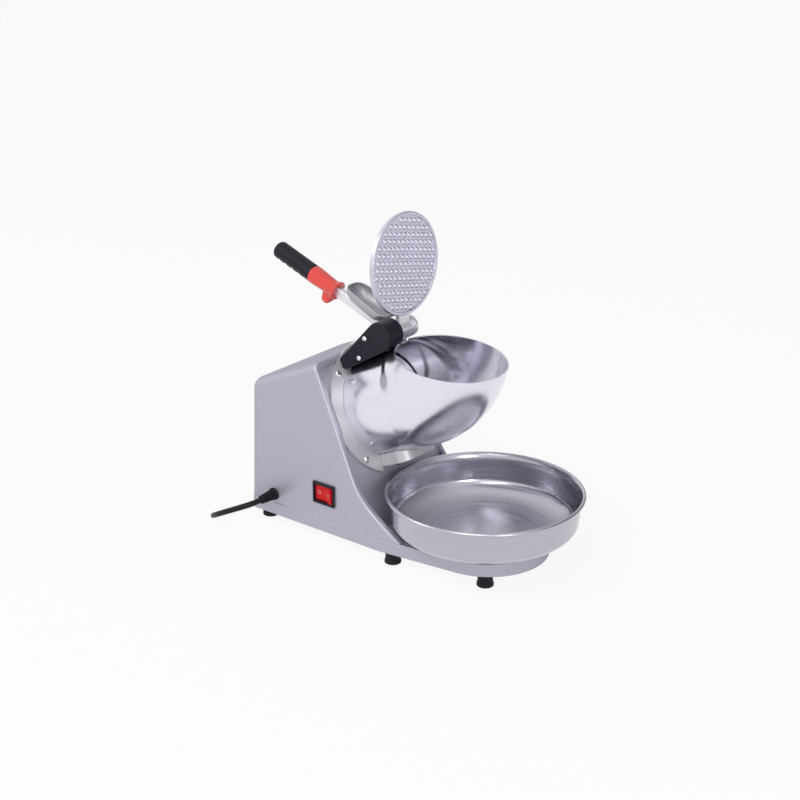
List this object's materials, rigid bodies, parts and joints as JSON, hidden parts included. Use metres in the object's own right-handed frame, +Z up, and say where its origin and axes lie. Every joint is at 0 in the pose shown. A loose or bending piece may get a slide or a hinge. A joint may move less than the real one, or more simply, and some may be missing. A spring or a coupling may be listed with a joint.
{
  "type": "ice crusher",
  "caption": "Electric ice crusher with a leaning sheet housing, a polished bent hopper, a hinged press lever with a studded plate, an outlet hood and a loose serving bowl.",
  "frame": {"origin": "on the surface it stands on, in the middle of the object's length and width without the cord", "axes": "+Z up, -Y towards the bowl at the front, +X to the right of someone behind it, so the switch and the cord are on the -X side"},
  "size_m": [0.3055, 0.4781, 0.3728],
  "materials": {
    "silver_paint": "smooth silver grey powder coat, satin",
    "polished_aluminium": "polished",
    "cast_aluminium": "cast and tumbled, satin",
    "stainless": "fine brushed",
    "steel": "plain zinc plated",
    "black_plastic": "fine moulded texture",
    "red_plastic": "glossy",
    "black_rubber": "matt",
    "cord_sheath": "smooth, slightly shiny sheath",
    "motor_steel": "dull plated sheet"
  },
  "bodies": {
    "root": {"base_tray": "silver_paint", "bottom_plate": "steel", "foot_1": "black_rubber", "foot_2": "black_rubber", "foot_3": "black_rubber", "foot_4": "black_rubber", "foot_5": "black_rubber", "foot_6": "black_rubber", "housing": "silver_paint", "front_panel": "silver_paint", "flange": "cast_aluminium", "flange_screw_1": "steel", "flange_screw_2": "steel", "flange_screw_3": "steel", "flange_screw_4": "steel", "hopper": "polished_aluminium", "outlet_hood": "cast_aluminium", "hinge_bracket": "cast_aluminium", "hinge_pin": "steel", "hinge_cover": "black_plastic", "cover_screw_1": "steel", "cover_screw_2": "steel", "safety_switch": "black_plastic", "front_bearing": "steel", "rear_bearing": "steel", "motor_shell": "motor_steel", "motor_front_cap": "cast_aluminium", "motor_rear_cap": "cast_aluminium", "motor_cradle": "silver_paint", "run_capacitor": "black_plastic", "switch_bezel": "black_plastic", "strain_relief": "black_rubber", "mains_cord": "cord_sheath", "cord_coil": "cord_sheath", "cord_tie": "black_rubber", "plug_lead": "cord_sheath", "mains_plug": "black_plastic"},
    "press": {"press_arm": "cast_aluminium", "lever_collar": "red_plastic", "lever_grip": "black_plastic", "lever_scoop": "cast_aluminium", "press_plate": "polished_aluminium", "plate_bolt_1": "steel", "plate_bolt_2": "steel"},
    "rotor": {"blade_disc": "steel", "blade_a": "steel", "blade_b": "steel", "blade_screw_1": "steel", "blade_screw_2": "steel", "blade_screw_3": "steel", "blade_screw_4": "steel", "disc_nut": "steel", "disc_spacer": "steel", "motor_shaft": "steel", "armature": "motor_steel", "cooling_fan": "black_plastic"},
    "rocker": {"switch_rocker": "red_plastic"},
    "bowl": {"bowl": "stainless"}
  },
  "joints": [
    {"name": "press_hinge", "type": "hinge", "parent": "root", "child": "press", "pos_m": [0, 0.0223, 0.243], "axis": [1, 0, 0], "range_deg": [0, 155]},
    {"name": "blade_spin", "type": "hinge", "parent": "root", "child": "rotor", "pos_m": [0, 0.0546, 0.1462], "axis": [0, -0.9171, 0.3987], "continuous": true},
    {"name": "switch_rock", "type": "hinge", "parent": "root", "child": "rocker", "pos_m": [-0.076, 0.0676, 0.0611], "axis": [0, 0, 1], "range_deg": [0, 18]},
    {"name": "bowl_slide", "type": "slide", "parent": "root", "child": "bowl", "axis": [0, -1, 0], "range_m": [0, 0.12]}
  ]
}
